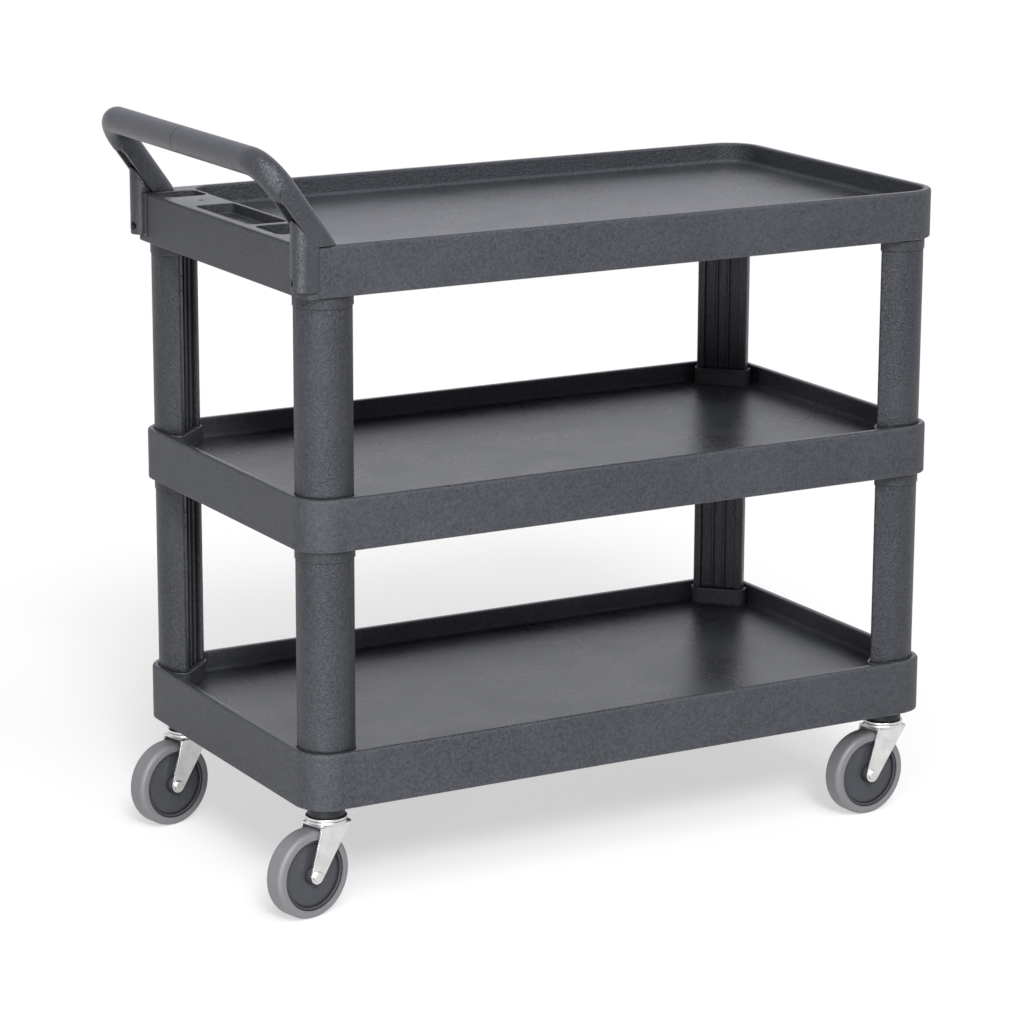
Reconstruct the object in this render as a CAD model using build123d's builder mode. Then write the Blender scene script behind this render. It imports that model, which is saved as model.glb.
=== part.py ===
from build123d import *
from math import atan2, cos, degrees, radians, sin, tan
import os

# Rolling utility cart with three moulded trays, eight posts, a push handle and four swivel casters.
# Frame: +X points away from the handle, +Y to the left of the person pushing, +Z up, floor at z = 0.
# The origin lies on the floor, below the middle of the overall box.

# --- Trays -----------------------------------------------------------------------------------
TOP_LENGTH = 1030.0
TOP_WIDTH = 544.0
LOW_LENGTH_LESS = 6.0     # the two lower trays are this much shorter than the top one
LOW_WIDTH_MORE = 8.0      # and this much wider
LOW_SHIFT = -4.0          # and sit this much nearer the handle
TOP_RIM_Z = 937.0
MIDDLE_RIM_Z = 594.0
BOTTOM_RIM_Z = 239.0
TOP_HEIGHT = 70.0
MIDDLE_HEIGHT = 73.0
BOTTOM_HEIGHT = 80.0
DECK_DEPTH = 30.0         # rim down to the deck
DECK_THICKNESS = 5.0
RIM_WIDTH = 12.0
SKIRT_WALL = 5.0
TRAY_CORNER = 46.0
TOP_FRONT_CORNER = 58.0
TOP_REAR_CORNER = 20.0    # under the handle brackets
RIM_OUTER_ROUND = 4.5
RIM_INNER_ROUND = 3.0
LOWER_EDGE_ROUND = 1.5
WALL_END_ROUND = 2.0      # top tray's walls where they meet the brackets
DECK_ROUND = 6.0
RIB_THICKNESS = 4.0
RIB_HEIGHT = 20.0
RIB_PITCH = 125.0
LONG_RIB_OFFSET = 95.0

# --- Posts -----------------------------------------------------------------------------------
POST_RADIUS = 39.0        # round outer side
POST_BACK = 15.5          # centre of the round side to the flat inner side
POST_WALL = 4.0
POST_BACK_ROUND = 4.0
POST_WALL_GAP = 9.0       # lower tray's outer face to the post
POST_BAND_HEIGHT = 16.0
POST_BAND_STEP = 1.2
POST_LIP = 11.0           # flat strip on each side of the channel down the inner side
POST_CHANNEL_DEPTH = 6.0
POST_RIB_THICKNESS = 2.0
POST_RIB_HEIGHT = 3.0
POST_RIB_PITCH = 18.0
POST_HOLE_RADIUS = 2.2
POST_HOLE_OFFSET = 32.0
POST_HOLE_DROPS = (46.0, 67.0)    # below the tray above
SOCKET_WALL = 4.5
SOCKET_CORNER = 14.0      # on the flat side
SOCKET_CLEARANCE = 0.2
SOCKET_DROP = 4.0         # rim down to the top of a raised socket

# --- Organiser in the top tray ----------------------------------------------------------------
ORGANISER_DEPTH = 80.0    # rear face of the tray to the front of the divider
DIVIDER_WALL = 5.0
POCKET_MARGIN = 15.0      # rear face of the tray to the pockets
POCKET_ROUND = 12.0
MAIN_POCKET_LENGTH = 180.0
MAIN_POCKET_Y = 15.0
MAIN_POCKET_DEPTH = 15.0
RIGHT_POCKET_LENGTH = 80.0
LEFT_POCKET_LENGTH = 52.0
SIDE_POCKET_DEPTH = 28.0
PIN_HOLE_RADIUS = 4.0
PIN_HOLE_DEPTH = 3.0
POCKET_RIB = 10.0
POCKET_WALL = 4.0
POCKET_FLOOR_ROUND = 2.5
LEFT_PLATEAU = 78.0       # flat area between the main and the left pocket

# --- Handle ----------------------------------------------------------------------------------
BAR_RADIUS = 19.0
BAR_RISE = 110.0          # top rim up to the bar's centre
BAR_SETBACK = 47.0        # rear face of the top tray back to the bar's centre
ARM_ANGLE = 54.8          # arm's slope below the horizontal
ELBOW_RADIUS = 42.0
FLANK_DEPTH = 13.7        # arm's centre line down to the edges of its flat sides
FLANK_START = 34.0        # bar's centre down the arm to where the flat sides begin
FLANK_TAPER = 20.0
FOOT_REACH = 48.0         # rear face of the top tray to the front of the arm's foot
BRACKET_PROUD_X = 12.0    # column outside the tray's rear face
BRACKET_PROUD_Y = 2.0     # column outside the tray's side face
BRACKET_LENGTH = 32.0
COLUMN_RADIUS = 16.0
COLUMN_ROUND = 2.0
BRACKET_BLOCK_WIDTH = 27.0
CHEEK_PROUD = 1.0         # cheek outside the tray's rear face
CHEEK_WIDTH = 45.0
BRACKET_LIFT = 9.0        # tray's lower edge up to the bracket
BRACKET_CLEARANCE = 0.3
COLUMN_TOP_DROP = 12.0    # arm's centre line down to the column's top
COLUMN_TOP_ROUND = 2.0
CHANNEL_WIDTH = 28.0
CHANNEL_WEB = 9.0         # arm's outer side to the bottom of its channel
CHANNEL_START = 2.0       # end of the elbow down to the channel
BAR_WALL = 5.0
SPIGOT_LENGTH = 30.0
SPIGOT_CLEARANCE = 0.1
SEAM_CHAMFER = 1.2

# --- Handle screws and their lugs ---------------------------------------------------------------
SCREW_INSET = 17.5        # tray's side face in to the screw
SCREW_HEIGHT = 22.0       # tray's lower edge up to the screw
SCREW_RECESS_RADIUS = 6.0
SCREW_RECESS_DEPTH = 10.0
SCREW_HEAD_RADIUS = 5.0
SCREW_HEAD_HEIGHT = 3.0
SCREW_RADIUS = 2.4
SCREW_LENGTH = 14.0
SCREW_SLOT = 1.2
SCREW_SLOT_LENGTH = 6.5
LUG_FRONT = 17.0          # tray's rear face in to the lug's front
LUG_LENGTH = 13.0
LUG_WIDTH = 17.0
LUG_HEIGHT = 33.0

# --- Casters ---------------------------------------------------------------------------------
WHEEL_RADIUS = 62.5
TYRE_WIDTH = 32.0
TYRE_THICKNESS = 12.0
TYRE_ROUND = 7.0
CORE_WIDTH = 28.0
CORE_WEB = 20.0
CORE_RIM = 4.0
HUB_RADIUS = 12.0
HUB_LENGTH = 37.0
CASTER_TRAIL = 34.0
FORK_GAP = 38.0           # between the fork's legs
FORK_STEEL = 3.0
FORK_TOP_LENGTH = 54.0
FORK_TOP_FRONT = 27.0     # swivel axis to the plate's front edge
FORK_LEG_TOP = 50.0
FORK_LEG_END = 11.0       # radius of the leg's round end
FORK_BEND = 4.0
FORK_CLEARANCE = 3.5      # wheel's top to the fork's plate
RACE_RADIUS = 29.0
RACE_THICKNESS = 4.0
RACE_LIP = 1.0
BALL_RADIUS = 2.5
BALL_CIRCLE = 22.0
BALL_COUNT = 12
BALL_CLEARANCE = 0.1
RACE_GAP = 0.4
DUST_RADIUS = 26.0
DUST_THICKNESS = 12.0
DUST_ROUND = 1.5
STEM_RADIUS = 11.0
STEM_LENGTH = 45.0        # above the boss's lower end
KINGPIN_RADIUS = 6.0
KINGPIN_HEAD_RADIUS = 10.0
KINGPIN_HEAD = 4.0
KINGPIN_CHAMFER = 1.0
KINGPIN_CLEARANCE = 0.3   # between its head and the fork
PIN_CLEARANCE = 0.05
BOSS_RADIUS = 30.0
AXLE_RADIUS = 4.0
AXLE_HEAD_RADIUS = 7.5
AXLE_HEAD = 3.5
AXLE_END = 1.0            # bolt's end beyond the nut
SLEEVE_WALL = 2.0
NUT_RADIUS = 7.5
NUT_HEIGHT = 5.5
CASTER_ANGLES = {"rear_right": 13.0, "rear_left": 13.0, "front_right": 4.0, "front_left": 8.0}

# --- Places worked out from the sizes above --------------------------------------------------
HANDLE_REACH = BAR_SETBACK + BAR_RADIUS
TRAY_X = HANDLE_REACH / 2
LOW_X = TRAY_X + LOW_SHIFT
LOW_LENGTH = TOP_LENGTH - LOW_LENGTH_LESS
LOW_WIDTH = TOP_WIDTH + LOW_WIDTH_MORE
REAR_FACE = TRAY_X - TOP_LENGTH / 2
POST_INSET = POST_WALL_GAP + POST_RADIUS
POST_X = LOW_LENGTH / 2 - POST_INSET
POST_Y = LOW_WIDTH / 2 - POST_INSET
TOP_FLOOR = TOP_RIM_Z - TOP_HEIGHT
MIDDLE_FLOOR = MIDDLE_RIM_Z - MIDDLE_HEIGHT
DECK_UNDERSIDE = DECK_DEPTH + DECK_THICKNESS
FORK_PLATE_Z = 2 * WHEEL_RADIUS + FORK_CLEARANCE
LOWER_RACE_Z = FORK_PLATE_Z + FORK_STEEL
UPPER_RACE_Z = LOWER_RACE_Z + RACE_THICKNESS + RACE_GAP
BALL_Z = UPPER_RACE_Z - RACE_GAP / 2
DUST_Z = UPPER_RACE_Z + RACE_THICKNESS
BOSS_Z = DUST_Z + DUST_THICKNESS

os.makedirs("parts", exist_ok=True)

CORNERS = {
    "rear_right": (-1, -1),
    "rear_left": (-1, 1),
    "front_right": (1, -1),
    "front_left": (1, 1),
}


def corner_plane(side_x, side_y, height):
    """Level plane on a post's centre, its own X pointing out to the cart's corner."""
    origin = (LOW_X + side_x * POST_X, side_y * POST_Y, height)
    return Plane(origin=origin, x_dir=(side_x, side_y, 0), z_dir=(0, 0, 1))


def post_section(plane, grow=0.0, corner=POST_BACK_ROUND, back=POST_BACK):
    """D-shaped outline of a post, made larger or smaller all round by grow."""
    radius = POST_RADIUS + grow
    back = back + grow
    with BuildSketch(plane) as section:
        with BuildLine():
            ThreePointArc((0, radius), (radius, 0), (0, -radius))
            Polyline((0, -radius), (-back, -radius), (-back, radius), (0, radius))
        make_face()
        fillet(section.vertices().group_by(Axis.X)[0], corner)
    return section.sketch


def tray_outline(length, width, x_centre, height, front_corner, rear_corner):
    """Rounded rectangle of a tray at one height."""
    with BuildSketch(Plane(origin=(x_centre, 0, height))) as outline:
        Rectangle(length, width)
        fillet(outline.vertices().group_by(Axis.X)[-1], front_corner)
        fillet(outline.vertices().group_by(Axis.X)[0], rear_corner)
    return outline.sketch


def tray_ribs(length, width, x_centre, height):
    """Grid of stiffening ribs below a deck."""
    inner_length = length - SKIRT_WALL
    inner_width = width - SKIRT_WALL
    count = int(inner_length / RIB_PITCH)
    with BuildSketch(Plane(origin=(x_centre, 0, height))) as ribs:
        with GridLocations(inner_length / count, 0, count - 1, 1):
            Rectangle(RIB_THICKNESS, inner_width)
        with GridLocations(0, LONG_RIB_OFFSET, 1, 3):
            Rectangle(inner_length, RIB_THICKNESS)
    return ribs.sketch


def tray_body(length, width, x_centre, rim_z, height,
              rear_block=0.0, front_corner=TRAY_CORNER, rear_corner=TRAY_CORNER):
    """Open tray: outer skirt, rim, recessed deck and the ribs below it.

    The well ends rear_block before its usual place when a raised area takes up the rear end.
    """
    floor = rim_z - height
    deck = rim_z - DECK_DEPTH
    hollow = height - DECK_UNDERSIDE
    well_length = length - 2 * RIM_WIDTH - rear_block
    well_width = width - 2 * RIM_WIDTH
    with BuildPart() as tray:
        extrude(tray_outline(length, width, x_centre, floor, front_corner, rear_corner), amount=height)
        fillet(tray.faces().sort_by(Axis.Z)[0].edges(), LOWER_EDGE_ROUND)
        fillet(tray.faces().sort_by(Axis.Z)[-1].edges(), RIM_OUTER_ROUND)
        well = tray_outline(well_length, well_width, x_centre + rear_block / 2, deck,
                            front_corner - RIM_WIDTH, TRAY_CORNER - RIM_WIDTH)
        extrude(well, amount=DECK_DEPTH, mode=Mode.SUBTRACT)
        fillet(tray.faces().filter_by(Axis.Z).group_by(Axis.Z)[1].edges(), DECK_ROUND)
        fillet(tray.faces().sort_by(Axis.Z)[-1].inner_wires().edges(), RIM_INNER_ROUND)
        cavity = tray_outline(length - 2 * SKIRT_WALL, width - 2 * SKIRT_WALL, x_centre, floor,
                              front_corner - SKIRT_WALL, rear_corner - SKIRT_WALL)
        extrude(cavity, amount=hollow, mode=Mode.SUBTRACT)
        extrude(tray_ribs(length, width, x_centre, deck - DECK_THICKNESS - RIB_HEIGHT), amount=RIB_HEIGHT)
    return tray.part


def caster_circle(side_x, side_y, radius):
    """Circle on a caster's swivel axis, at the lower end of its boss."""
    with BuildSketch(corner_plane(side_x, side_y, BOSS_Z)) as circle:
        Circle(radius)
    return circle.sketch


def low_tray(rim_z, height):
    """Middle or bottom tray with raised sockets for the posts that stand on it."""
    deck = rim_z - DECK_DEPTH
    with BuildPart() as tray:
        add(tray_body(LOW_LENGTH, LOW_WIDTH, LOW_X, rim_z, height))
        for side_x, side_y in CORNERS.values():
            raised = corner_plane(side_x, side_y, deck)
            extrude(post_section(raised, SOCKET_WALL, SOCKET_CORNER), amount=DECK_DEPTH - SOCKET_DROP)
            extrude(post_section(raised, SOCKET_CLEARANCE), amount=DECK_DEPTH, mode=Mode.SUBTRACT)
    return tray


# --- Middle tray -------------------------------------------------------------------------------
middle_tray = low_tray(MIDDLE_RIM_Z, MIDDLE_HEIGHT)
middle_hollow = MIDDLE_HEIGHT - DECK_UNDERSIDE
with middle_tray:
    for side_x, side_y in CORNERS.values():
        below = corner_plane(side_x, side_y, MIDDLE_FLOOR)
        extrude(post_section(below, SOCKET_WALL, SOCKET_CORNER), amount=middle_hollow)
        extrude(post_section(below, SOCKET_CLEARANCE), amount=middle_hollow, mode=Mode.SUBTRACT)
middle_tray.part.label = "middle_tray"
export_step(middle_tray.part, "parts/middle_tray.step")

# --- Bottom tray -------------------------------------------------------------------------------
bottom_tray = low_tray(BOTTOM_RIM_Z, BOTTOM_HEIGHT)
boss_height = BOTTOM_RIM_Z - DECK_UNDERSIDE - BOSS_Z
with bottom_tray:
    for side_x, side_y in CORNERS.values():
        extrude(caster_circle(side_x, side_y, BOSS_RADIUS), amount=boss_height)
        extrude(caster_circle(side_x, side_y, STEM_RADIUS), amount=STEM_LENGTH, mode=Mode.SUBTRACT)
bottom_tray.part.label = "bottom_tray"
export_step(bottom_tray.part, "parts/bottom_tray.step")

# --- Top tray ----------------------------------------------------------------------------------
MAIN_LEFT_END = MAIN_POCKET_Y + MAIN_POCKET_LENGTH / 2
MAIN_RIGHT_END = MAIN_POCKET_Y - MAIN_POCKET_LENGTH / 2
RIGHT_POCKET_Y = MAIN_RIGHT_END - POCKET_RIB - RIGHT_POCKET_LENGTH / 2
LEFT_POCKET_Y = MAIN_LEFT_END + LEFT_PLATEAU + LEFT_POCKET_LENGTH / 2
PIN_HOLE_Y = MAIN_LEFT_END + LEFT_PLATEAU / 2
POCKET_WIDTH = ORGANISER_DEPTH - DIVIDER_WALL - POCKET_MARGIN
POCKET_X = REAR_FACE + POCKET_MARGIN + POCKET_WIDTH / 2
POCKETS = [
    (MAIN_POCKET_Y, MAIN_POCKET_LENGTH, MAIN_POCKET_DEPTH),
    (RIGHT_POCKET_Y, RIGHT_POCKET_LENGTH, SIDE_POCKET_DEPTH),
    (LEFT_POCKET_Y, LEFT_POCKET_LENGTH, SIDE_POCKET_DEPTH),
]
top_deck_underside = TOP_RIM_Z - DECK_UNDERSIDE
top_hollow = TOP_HEIGHT - DECK_UNDERSIDE
BRACKET_REAR = REAR_FACE - BRACKET_PROUD_X
BRACKET_FRONT = BRACKET_REAR + BRACKET_LENGTH
BRACKET_SIDE = TOP_WIDTH / 2 + BRACKET_PROUD_Y
BRACKET_Z = TOP_FLOOR + BRACKET_LIFT
COLUMN_X = BRACKET_REAR + COLUMN_RADIUS
COLUMN_Y = BRACKET_SIDE - COLUMN_RADIUS
CHEEK_REAR = REAR_FACE - CHEEK_PROUD
CHEEK_FRONT = REAR_FACE + SKIRT_WALL
CHEEK_END = BRACKET_SIDE - CHEEK_WIDTH
LUG_X = REAR_FACE + LUG_FRONT - LUG_LENGTH / 2
SCREW_Y = TOP_WIDTH / 2 - SCREW_INSET
SCREW_Z = TOP_FLOOR + SCREW_HEIGHT


def organiser_pocket(y_centre, length, depth, wall=0.0):
    """Rounded pocket of the organiser, or with a wall the cup that surrounds it."""
    with BuildPart() as pocket:
        with BuildSketch(Plane(origin=(POCKET_X, y_centre, TOP_RIM_Z - depth - wall))):
            RectangleRounded(POCKET_WIDTH + 2 * wall, length + 2 * wall, POCKET_ROUND + wall)
        extrude(amount=depth + wall)
        fillet(pocket.faces().sort_by(Axis.Z)[0].edges(), POCKET_FLOOR_ROUND + wall)
    return pocket.part


def block_plan(x_centre, y_centre, height, length, width, clearance=0.0):
    """Level rectangle with a clearance added on every side."""
    with BuildSketch(Plane(origin=(x_centre, y_centre, height))) as plan:
        Rectangle(length + 2 * clearance, width + 2 * clearance)
    return plan.sketch


def column_plan(side_y, height, clearance=0.0):
    """Half-round column of a bracket, from its rear to the end of the tray's side wall."""
    with BuildSketch(Plane(origin=(0, 0, height))) as plan:
        with Locations((COLUMN_X, side_y * COLUMN_Y)):
            Circle(COLUMN_RADIUS + clearance)
        front = BRACKET_FRONT + clearance
        with Locations(((COLUMN_X + front) / 2, side_y * COLUMN_Y)):
            Rectangle(front - COLUMN_X, 2 * (COLUMN_RADIUS + clearance))
    return plan.sketch


def cheek_plan(side_y, height, clearance=0.0):
    """Cheek of a bracket beside its column, in the tray's rear wall, and the block in front of both."""
    rear = CHEEK_REAR - clearance
    cheek_length = CHEEK_FRONT + clearance - rear
    cheek_end = CHEEK_END - clearance
    block_length = BRACKET_FRONT + clearance - COLUMN_X
    block_end = BRACKET_SIDE - BRACKET_BLOCK_WIDTH - clearance
    block_side = BRACKET_SIDE + clearance
    with BuildSketch(Plane(origin=(0, 0, height))) as plan:
        with Locations((rear + cheek_length / 2, side_y * (cheek_end + COLUMN_Y) / 2)):
            Rectangle(cheek_length, COLUMN_Y - cheek_end)
        with Locations((COLUMN_X + block_length / 2, side_y * (block_end + block_side) / 2)):
            Rectangle(block_length, block_side - block_end)
    return plan.sketch


with BuildPart() as top_tray:
    add(tray_body(TOP_LENGTH, TOP_WIDTH, TRAY_X, TOP_RIM_Z, TOP_HEIGHT,
                  ORGANISER_DEPTH - RIM_WIDTH, TOP_FRONT_CORNER, TOP_REAR_CORNER))
    # Room below the organiser, then the cups of its pockets and the pockets themselves
    room_length = ORGANISER_DEPTH - SKIRT_WALL - DIVIDER_WALL
    room_x = REAR_FACE + SKIRT_WALL + room_length / 2
    room_width = 2 * (CHEEK_END - SKIRT_WALL)
    room = block_plan(room_x, 0, top_deck_underside, room_length, room_width)
    extrude(room, amount=DECK_UNDERSIDE - DECK_THICKNESS, mode=Mode.SUBTRACT)
    for y_centre, length, depth in POCKETS:
        add(organiser_pocket(y_centre, length, depth, POCKET_WALL))
    for y_centre, length, depth in POCKETS:
        add(organiser_pocket(y_centre, length, depth), mode=Mode.SUBTRACT)
    with BuildSketch(Plane(origin=(POCKET_X, PIN_HOLE_Y, TOP_RIM_Z))):
        Circle(PIN_HOLE_RADIUS)
    extrude(amount=-PIN_HOLE_DEPTH, mode=Mode.SUBTRACT)
    # Corner recesses for the handle brackets, lugs for their screws
    for side_y in (-1, 1):
        recess_floor = BRACKET_Z - BRACKET_CLEARANCE
        extrude(column_plan(side_y, recess_floor, BRACKET_CLEARANCE), amount=TOP_HEIGHT, mode=Mode.SUBTRACT)
        extrude(cheek_plan(side_y, recess_floor, BRACKET_CLEARANCE), amount=TOP_HEIGHT, mode=Mode.SUBTRACT)
        lug = block_plan(LUG_X, side_y * SCREW_Y, TOP_FLOOR, LUG_LENGTH, LUG_WIDTH)
        extrude(lug, amount=LUG_HEIGHT)
    # Rounded ends of the rear wall and of the side walls beside the brackets
    upright = top_tray.edges().filter_by(Axis.Z)
    rear_ends = upright.group_by(Axis.X)[0].sort_by(SortBy.LENGTH)[-2:]
    seam_x = BRACKET_FRONT + BRACKET_CLEARANCE
    side_ends = upright.filter_by_position(Axis.X, BRACKET_FRONT, seam_x + BRACKET_CLEARANCE).sort_by(Axis.Y)
    fillet([*rear_ends, side_ends[0], side_ends[-1]], WALL_END_ROUND)
    for side_x, side_y in CORNERS.values():
        below = corner_plane(side_x, side_y, TOP_FLOOR)
        extrude(post_section(below, SOCKET_WALL, SOCKET_CORNER), amount=top_hollow)
        extrude(post_section(below, SOCKET_CLEARANCE), amount=top_hollow, mode=Mode.SUBTRACT)
    for side_y in (-1, 1):
        with BuildSketch(Plane(origin=(LUG_X, side_y * SCREW_Y, SCREW_Z), z_dir=(1, 0, 0))):
            Circle(SCREW_RADIUS)
        extrude(amount=LUG_LENGTH / 2, both=True, mode=Mode.SUBTRACT)
top_tray.part.label = "top_tray"
export_step(top_tray.part, "parts/top_tray.step")

# --- Posts -------------------------------------------------------------------------------------
POST_SPANS = {
    "upper": (MIDDLE_RIM_Z - DECK_DEPTH, top_deck_underside, TOP_FLOOR),
    "lower": (BOTTOM_RIM_Z - DECK_DEPTH, MIDDLE_RIM_Z - DECK_UNDERSIDE, MIDDLE_FLOOR),
}
for level, (foot, head, tray_floor) in POST_SPANS.items():
    for corner, (side_x, side_y) in CORNERS.items():
        with BuildPart() as post:
            base = corner_plane(side_x, side_y, foot)
            extrude(post_section(base), amount=head - foot)
            band = corner_plane(side_x, side_y, tray_floor - POST_BAND_HEIGHT)
            extrude(post_section(band, POST_BAND_STEP), amount=POST_BAND_HEIGHT)
            hollow_back = POST_BACK - POST_CHANNEL_DEPTH
            hollow = post_section(base, -POST_WALL, POST_BACK_ROUND, hollow_back)
            extrude(hollow, amount=head - foot, mode=Mode.SUBTRACT)
            # Shallow ribbed channel down the flat side, from the socket to the band
            channel_foot = base.offset(DECK_DEPTH - SOCKET_DROP)
            channel_height = tray_floor - POST_BAND_HEIGHT - foot - DECK_DEPTH + SOCKET_DROP
            with BuildSketch(channel_foot):
                with Locations((-POST_BACK, 0)):
                    Rectangle(2 * POST_CHANNEL_DEPTH, 2 * (POST_RADIUS - POST_LIP))
            extrude(amount=channel_height, mode=Mode.SUBTRACT)
            with BuildSketch(channel_foot):
                with Locations((-hollow_back - POST_RIB_HEIGHT / 2, 0)):
                    with GridLocations(0, POST_RIB_PITCH, 1, 2):
                        Rectangle(POST_RIB_HEIGHT, POST_RIB_THICKNESS)
            extrude(amount=channel_height)
            # Two small holes in one lip
            for drop in POST_HOLE_DROPS:
                centre = base.location * Pos(-POST_BACK, POST_HOLE_OFFSET, tray_floor - drop - foot)
                hole_plane = Plane(origin=centre.position, z_dir=base.x_dir)
                with BuildSketch(hole_plane):
                    Circle(POST_HOLE_RADIUS)
                extrude(amount=POST_CHANNEL_DEPTH + 2 * POST_WALL, both=True, mode=Mode.SUBTRACT)
        post.part.label = f"post_{level}_{corner}"
        export_step(post.part, f"parts/{post.part.label}.step")

# --- Handle: two mirrored mouldings that meet at the middle of the bar -------------------------
BAR_X = REAR_FACE - BAR_SETBACK
BAR_Z = TOP_RIM_Z + BAR_RISE
ARM_Y = BRACKET_SIDE - BAR_RADIUS
ARM_SLOPE = radians(ARM_ANGLE)
ARM_LENGTH = BAR_RISE / sin(ARM_SLOPE) + 2 * BAR_RADIUS
STRAIGHT_BAR = ARM_Y - ELBOW_RADIUS
bore_radius = BAR_RADIUS - BAR_WALL


def arm_height(x_place, below=0.0):
    """Height of a line along the arm, moved square to the arm by below."""
    return BAR_Z - (x_place - BAR_X) * tan(ARM_SLOPE) - below / cos(ARM_SLOPE)


for side, side_y in {"right": -1, "left": 1}.items():
    with BuildPart() as handle:
        # Tube from the middle of the bar round the elbow and down the arm
        arm_frame = Plane(
            origin=(BAR_X, 0, BAR_Z),
            x_dir=(0, side_y, 0),
            z_dir=(-side_y * sin(ARM_SLOPE), 0, -side_y * cos(ARM_SLOPE)),
        )
        with BuildLine(arm_frame) as centre_line:
            FilletPolyline((0, 0), (ARM_Y, 0), (ARM_Y, ARM_LENGTH), radius=ELBOW_RADIUS)
        with BuildSketch(Plane(origin=(BAR_X, 0, BAR_Z), z_dir=(0, side_y, 0))):
            Circle(BAR_RADIUS)
        sweep(path=centre_line.line)
        chamfer(handle.faces().sort_by(Axis.Y)[0 if side_y > 0 else -1].edges(), SEAM_CHAMFER)
        # Flat sides below the elbow, drawn along the arm and square to it
        arm_side = Plane(
            origin=(BAR_X, side_y * ARM_Y, BAR_Z),
            x_dir=(cos(ARM_SLOPE), 0, -sin(ARM_SLOPE)),
            z_dir=(0, 1, 0),
        )
        with BuildPart() as flanks:
            with BuildSketch(arm_side):
                with BuildLine():
                    start = (FLANK_START, 0)
                    bend = TangentArc(start, (FLANK_START + FLANK_TAPER, FLANK_DEPTH), tangent=(0, 1))
                    Polyline(bend @ 1, (ARM_LENGTH, FLANK_DEPTH), (ARM_LENGTH, 0), start)
                make_face()
            extrude(amount=BAR_RADIUS, both=True)
        add(flanks.part)
        # Channel open to the underside of the arm
        channel_top = ELBOW_RADIUS + CHANNEL_START
        channel_length = ARM_LENGTH - channel_top
        channel_frame = arm_frame.offset(side_y * (CHANNEL_WEB - BAR_RADIUS))
        with BuildSketch(channel_frame):
            with Locations((ARM_Y, channel_top + channel_length / 2)):
                SlotOverall(channel_length, CHANNEL_WIDTH, rotation=90)
        extrude(amount=side_y * 2 * BAR_RADIUS, mode=Mode.SUBTRACT)
        # The arm's foot rests level on the tray and ends upright
        foot = block_plan(TRAY_X, 0, TOP_RIM_Z - TOP_HEIGHT, TOP_LENGTH * 2, TOP_WIDTH * 2)
        extrude(foot, amount=TOP_HEIGHT, mode=Mode.SUBTRACT)
        foot_end = Plane(origin=(REAR_FACE + FOOT_REACH, 0, 0), z_dir=(1, 0, 0))
        split(bisect_by=foot_end, keep=Keep.BOTTOM)
        # Bore of the bar
        with BuildSketch(Plane(origin=(BAR_X, 0, BAR_Z), z_dir=(0, side_y, 0))):
            Circle(bore_radius)
        extrude(amount=STRAIGHT_BAR, mode=Mode.SUBTRACT)
        if side == "left":
            with BuildSketch(Plane(origin=(BAR_X, 0, BAR_Z), z_dir=(0, side_y, 0))):
                Circle(bore_radius)
            extrude(amount=SPIGOT_LENGTH)
            with BuildSketch(Plane(origin=(BAR_X, 0, BAR_Z), z_dir=(0, -side_y, 0))):
                Circle(bore_radius - SPIGOT_CLEARANCE)
            extrude(amount=SPIGOT_LENGTH)
    # Bracket that wraps the tray's corner: a column that rises into the arm's channel, and a cheek
    with BuildPart() as bracket:
        column_height = BAR_Z - BRACKET_Z
        extrude(column_plan(side_y, BRACKET_Z), amount=column_height)
        top_slope = Plane(
            origin=(BRACKET_REAR, 0, arm_height(BRACKET_REAR, COLUMN_TOP_DROP)),
            z_dir=(sin(ARM_SLOPE), 0, cos(ARM_SLOPE)),
        )
        split(bisect_by=top_slope, keep=Keep.BOTTOM)
        fillet(bracket.faces().sort_by(Axis.Z)[-1].edges(), COLUMN_TOP_ROUND)
        fillet(bracket.faces().sort_by(Axis.Z)[0].edges(), COLUMN_ROUND)
        extrude(cheek_plan(side_y, BRACKET_Z), amount=TOP_RIM_Z - BRACKET_Z)
        hidden = corner_plane(-1, side_y, TOP_FLOOR)
        extrude(post_section(hidden, SOCKET_WALL + BRACKET_CLEARANCE, SOCKET_CORNER),
                amount=top_hollow + BRACKET_CLEARANCE, mode=Mode.SUBTRACT)
        lug = block_plan(LUG_X, side_y * SCREW_Y, TOP_FLOOR, LUG_LENGTH, LUG_WIDTH, BRACKET_CLEARANCE)
        extrude(lug, amount=LUG_HEIGHT + BRACKET_CLEARANCE, mode=Mode.SUBTRACT)
        with BuildSketch(Plane(origin=(BRACKET_REAR, side_y * SCREW_Y, SCREW_Z), z_dir=(1, 0, 0))):
            Circle(SCREW_RECESS_RADIUS)
        extrude(amount=SCREW_RECESS_DEPTH, mode=Mode.SUBTRACT)
        with BuildSketch(Plane(origin=(BRACKET_REAR, side_y * SCREW_Y, SCREW_Z), z_dir=(1, 0, 0))):
            Circle(SCREW_RADIUS + PIN_CLEARANCE)
        extrude(amount=BRACKET_LENGTH, mode=Mode.SUBTRACT)
    with handle:
        add(bracket.part)
    handle.part.label = f"handle_{side}"
    export_step(handle.part, f"parts/{handle.part.label}.step")

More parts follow.
